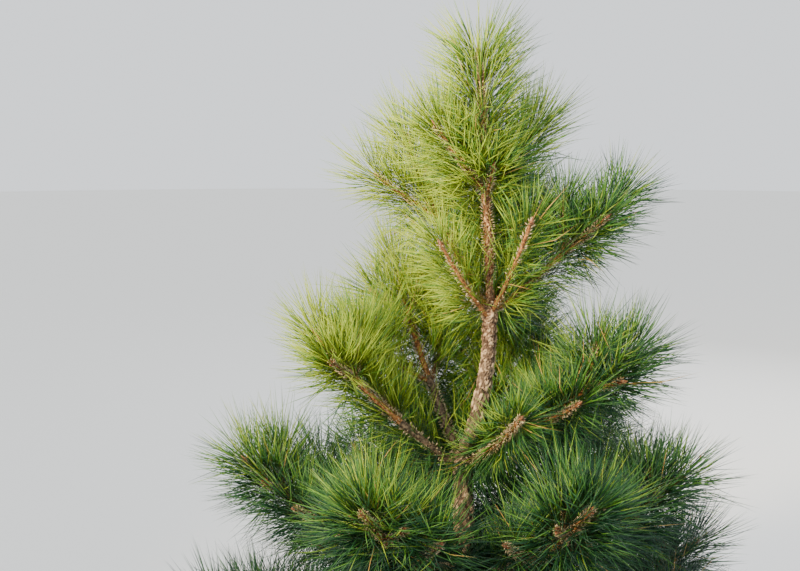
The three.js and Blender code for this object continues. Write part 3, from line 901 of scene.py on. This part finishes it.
PAINTED_SHADE_THINS = (1430, 1900)  # heights over which the painted shade gives way to a leader all in painted sunlight
YEAR_PAINTED_SUN = 0.1  # painted sunlight on the older, inner needles: how much more yellow-green each older year is, up in the sun
SHOOT_VARIES = 0.5  # in steps from one green to the next
NEEDLE_VARIES = 1.3
STRAW_SHARE = 0.006
NEEDLE_SEED = 23

# Waxy needles: a soft gloss along a stiff opaque blade. The green is plain in each: painted sunlight makes
# it yellow-green up on the sunny side, and painted shade makes it deep below and on the right. Straw is a
# needle about to be shed, and like a sheath it is dry and matt.
WAXY, DRY = 0.43, 0.8
needle_finishes = [(f"waxy_green_{number}", colour, WAXY) for number, colour in enumerate(GREENS, 1)]
needle_finishes += [("dry_straw", STRAW_COLOUR, DRY), ("papery_sheath", SHEATH_COLOUR, DRY)]
needle_materials = []
for label, colour, roughness in needle_finishes:
    values = {"Base Color": linear(colour), "Roughness": roughness, "IOR": 1.45, "Specular IOR Level": 0.45}
    needle_materials.append(new_material(label, values)[0])
STRAW, SHEATHED = len(GREENS), len(GREENS) + 1


def needle_pairs(path, radii, count, tilts, scatter, rng):
    """Where the pairs of one stretch of shoot stand, which way they point, and which way the shoot goes."""
    shares = (np.arange(count) + rng.random(count)) / count
    at = shares * (len(path) - 1)
    step = np.minimum(at.astype(int), len(path) - 2)
    along = unit(path[step + 1] - path[step])
    roots = path[step] + (path[step + 1] - path[step]) * (at - step)[:, None]
    level = unit(np.cross(along, UP + LEVEL_BIAS))
    turns = np.radians(np.arange(count) * GOLDEN_ANGLE + rng.normal(0, TURN_SCATTER, count))[:, None]
    out = level * np.cos(turns) + np.cross(level, along) * np.sin(turns)
    tilt = np.radians(between(*tilts, shares) + rng.normal(0, scatter, count))[:, None]
    roots += SEATED * radii[step][:, None] * out
    return roots, along * np.cos(tilt) + out * np.sin(tilt), along


def spindles(feet, middles, tips, widths, rng):
    """Corners and faces of thin closed blades: a point, three corners round the middle, and a point."""
    along = unit(tips - feet)
    side = unit(np.cross(along, rng.normal(size=along.shape)))
    other = np.cross(along, side)
    turns = np.arange(3) * math.tau / 3
    outs = [side * math.cos(turn) + other * math.sin(turn) for turn in turns]
    ring = [middles + widths * BLADE_RING * out for out in outs]
    corners = np.stack([feet, *ring, tips], 1)
    faces = np.array([(2, 1, 0), (3, 2, 0), (1, 3, 0), (1, 2, 4), (2, 3, 4), (3, 1, 4)])
    firsts = np.arange(len(feet))[:, None, None] * corners.shape[1]
    return corners.reshape(-1, 3), (faces[None] + firsts).reshape(-1, 3)


axis_heights = np.arange(0, STEM_TOP + 1, AXIS_STEP)
axis_spots = np.array([stem_axis(height) for height in axis_heights])
axis_radii = np.array([stem_radius(height) for height in axis_heights])
least_spot, most_spot = np.array(cad_box) / MM + [[-REACH], [REACH]]
eye = np.array(EYE) / MM
seen_bough = next(bough for bough in boughs if (bough["whorl"], bough["number"]) == SEEN_LIMB["bough"])
seen_limb = smooth_path(seen_bough["path"])[0]
limb_reach = np.linalg.norm(seen_limb - seen_limb[0], axis=1)
seen_limb = seen_limb[(limb_reach > SEEN_LIMB["along"][0]) & (limb_reach < SEEN_LIMB["along"][1])]


def in_view(points):
    """Where points show from the eye, across and up, for each unit of their distance from it."""
    return (points[:, [0, 2]] - eye[[0, 2]]) / (points[:, 1:2] - eye[1])


def hides_limb(points):
    """Which points are in the gap between the eye and the limb that shows from there."""
    off = np.linalg.norm(in_view(points)[:, None] - in_view(seen_limb)[None], axis=2)
    close = off * (seen_limb[:, 1] - eye[1]) < SEEN_LIMB["gap"] / 2
    return (close & (points[:, 1:2] < seen_limb[:, 1])).any(1)


def kept_needles(feet, middles, tips, on_stem, cleared, rng):
    """Which needles are clear of stem and ground, keep to the crown, and aren't shed where wood shows."""
    good = np.ones(len(feet), bool)
    hiding = np.zeros(len(feet), bool)
    for point in ((feet + middles) / 2, middles, (middles + tips) / 2, tips):
        good &= point[:, 2] > GROUND_CLEAR
        good &= ((point > least_spot) & (point < most_spot)).all(1)
        near = np.clip((point[:, 2] / AXIS_STEP).astype(int), 0, len(axis_heights) - 1)
        off_stem = np.linalg.norm(point[:, :2] - axis_spots[near, :2], axis=1)
        if not on_stem:
            good &= (off_stem > axis_radii[near] + STEM_CLEAR) | (point[:, 2] > STEM_TOP)
        x, y, z = (point - axis_spots[near] * [1, 1, 0]).T
        for (low, high), width, depth in CLEARINGS:
            hiding |= (z > low) & (z < high) & (abs(x) < width / 2) & (y < 0) & (y > -depth)
        hiding |= hides_limb(point)
    return good & ~(hiding & (rng.random(len(feet)) < cleared))


def painted_light_greens(spots, age):
    """Which green painted sunlight and painted shade give needles of an age at these spots, as numbers that
    may lie between two.
    """
    # painted sunlight grows with height and with the needles' age; painted shade deepens the right side
    # below the leader
    sun = smooth_step(*PAINTED_SUN_HEIGHTS, spots[:, 2])
    below = 1 - smooth_step(*PAINTED_SHADE_THINS, spots[:, 2])
    shade = PAINTED_SHADE * sun * below * smooth_step(*PAINTED_SHADE_FROM, spots[:, 0])
    light = between(*PAINTED_SUN_LEVELS, sun) - shade + YEAR_PAINTED_SUN * sun * age
    return (1 - light) * (len(GREENS) - 1)


def stretches(shoot):
    """The last years' growth of a shoot, as dress takes it."""
    path, places = smooth_path(shoot["path"])
    radii = between(*shoot["radii"], places / places[-1])
    bough = boughs[shoot["bough"]]
    habit = HABIT | OWN_HABITS.get((bough["whorl"], bough["number"]), {})
    vigour = between(WEAK_NEEDLES, 1, smooth_step(*WEAK_GROWTH, bough["length"] / bough["years"]))
    fullness = FULLNESS[bough["whorl"]] * habit["fullness"] * vigour * (SIDE_PAIRS if shoot["side"] else 1)
    for year in range(max(0, shoot["years"] - len(YEARS)), shoot["years"]):
        needled = YEARS[shoot["years"] - 1 - year]
        start, end = (year + BARE_FOOT) * STEPS_A_YEAR, (year + 1) * STEPS_A_YEAR
        within = (places >= start) & (places <= end)
        part = path[within]
        length = np.linalg.norm(np.diff(part, axis=0), axis=1).sum()
        kept = habit["oldest"] if year == 0 and not shoot["side"] else 1
        yield dict(
            path=part, radii=radii[within], count=round(length * fullness * needled["pairs"] * kept),
            tilt=needled["tilt"], length=[habit["length"] * vigour * end for end in needled["length"]],
            age=shoot["years"] - 1 - year, scatter=TILT_SCATTER, curl=CURL, rise=habit["rise"],
            cleared=habit["cleared"], parted=0 if shoot["side"] else habit["parted"],
        )


def dress(name, parts, nodes, on_stem, rng):
    """Joins the needles of stretches of shoot in one piece, which stands for these of the solids."""
    corners, faces, colours, total = [], [], [], 0
    for part in parts:
        count = part["count"]
        roots, ways, along = needle_pairs(
            part["path"], part["radii"], count, part["tilt"], part["scatter"], rng
        )
        shown = (ways[:, 1] > PARTED_FROM) | (rng.random(count) >= part["parted"])
        roots, along, count = roots[shown], along[shown], shown.sum()
        ways = unit(ways[shown] + part["rise"] * UP)
        spread = np.cross(ways, unit(rng.normal(size=ways.shape))) * math.tan(math.radians(PAIR_SPREAD))
        both = unit(np.concatenate([ways + spread, ways - spread]))
        bend = part["curl"] * np.concatenate([along, along])
        ends = unit(both + bend + rng.normal(0, CURL_SCATTER, both.shape))
        halves = np.tile(between(*part["length"], rng.random(count)), 2)[:, None] / 2
        feet = np.concatenate([roots, roots])
        middles = feet + both * halves
        tips = middles + ends * halves
        kept = kept_needles(feet, middles, tips, on_stem, part["cleared"], rng)
        paired = kept[:count] | kept[count:]
        # each needle's green: painted sunlight and painted shade, then its shoot's and its own random tone
        green = painted_light_greens(tips[kept], part["age"]) + rng.normal(0, SHOOT_VARIES)
        tints = np.clip(np.round(green + rng.normal(0, NEEDLE_VARIES, kept.sum())), 0, len(GREENS) - 1)
        tints[rng.random(len(tints)) < STRAW_SHARE] = STRAW
        widths = NEEDLE_WIDTH * rng.uniform(*WIDTH_VARIES, (kept.sum(), 1))
        blades = spindles(feet[kept], middles[kept], tips[kept], widths, rng)
        foot, sheath = roots[paired], ways[paired] * SHEATH_LENGTH
        sheaths = spindles(foot, foot + SHEATH_BELLY * sheath, foot + sheath, SHEATH_WIDTH, rng)
        for (some_corners, some_faces), some_colours in (
            (blades, tints),
            (sheaths, np.full(paired.sum(), SHEATHED)),
        ):
            corners.append(some_corners)
            faces.append(some_faces + total)
            colours.append(np.repeat(some_colours, len(some_faces) // max(1, len(some_colours))))
            total += len(some_corners)
    mesh = new_mesh(
        name, np.concatenate(corners), np.concatenate(faces), needle_materials, np.concatenate(colours)
    )
    piece = put_in_scene(name, mesh)
    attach(piece, "root")
    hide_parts(*nodes)


rng = np.random.default_rng(NEEDLE_SEED)
top_whorl, upper_whorl = STATIONS[-2]["height"], STATIONS[-3]["height"]
stem_parts = []
for low, high, pairs, needled, age in (
    (top_whorl + LEADER_FOOT, STEM_TOP, LEADER["pairs"] * (STEM_TOP - top_whorl), LEADER, 0),
    (upper_whorl + SECOND_YEAR_FOOT, top_whorl, SECOND_YEAR_PAIRS, YEARS[1], 1),
):
    heights = np.linspace(low, high, STEM_POINTS)
    stem_parts.append(dict(
        path=np.array([stem_axis(h) for h in heights]), radii=np.array([stem_radius(h) for h in heights]),
        count=round(pairs), tilt=needled["tilt"], length=needled["length"], age=age,
        scatter=LEADER_SCATTER, curl=LEADER_CURL, rise=0, cleared=HABIT["cleared"], parted=0,
    ))
dress("needles_of_leader", stem_parts, ["needles_leader"], True, rng)
PIECES = {"skirt": [4], "base": [2, 2, 2], "lower": [2, 2, 2], "middle": [5], "upper": [5], "top": [4]}
for name, sizes in PIECES.items():
    numbers = iter(range(1, sum(sizes) + 1))
    for part, size in enumerate(sizes, 1):
        own = [next(numbers) for _ in range(size)]
        own_shoots = [shoot for shoot in whorl_shoots[name] if boughs[shoot["bough"]]["number"] in own]
        parts = [stretch for shoot in own_shoots for stretch in stretches(shoot)]
        nodes = [f"needles_{name}_{number}" for number in own]
        dress(f"needles_of_{name}_{part}", parts, nodes, False, rng)


# What the finished tree measures beside its solids.
size = {"cad": [list(corner) for corner in cad_box], "visual": [list(corner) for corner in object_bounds()]}
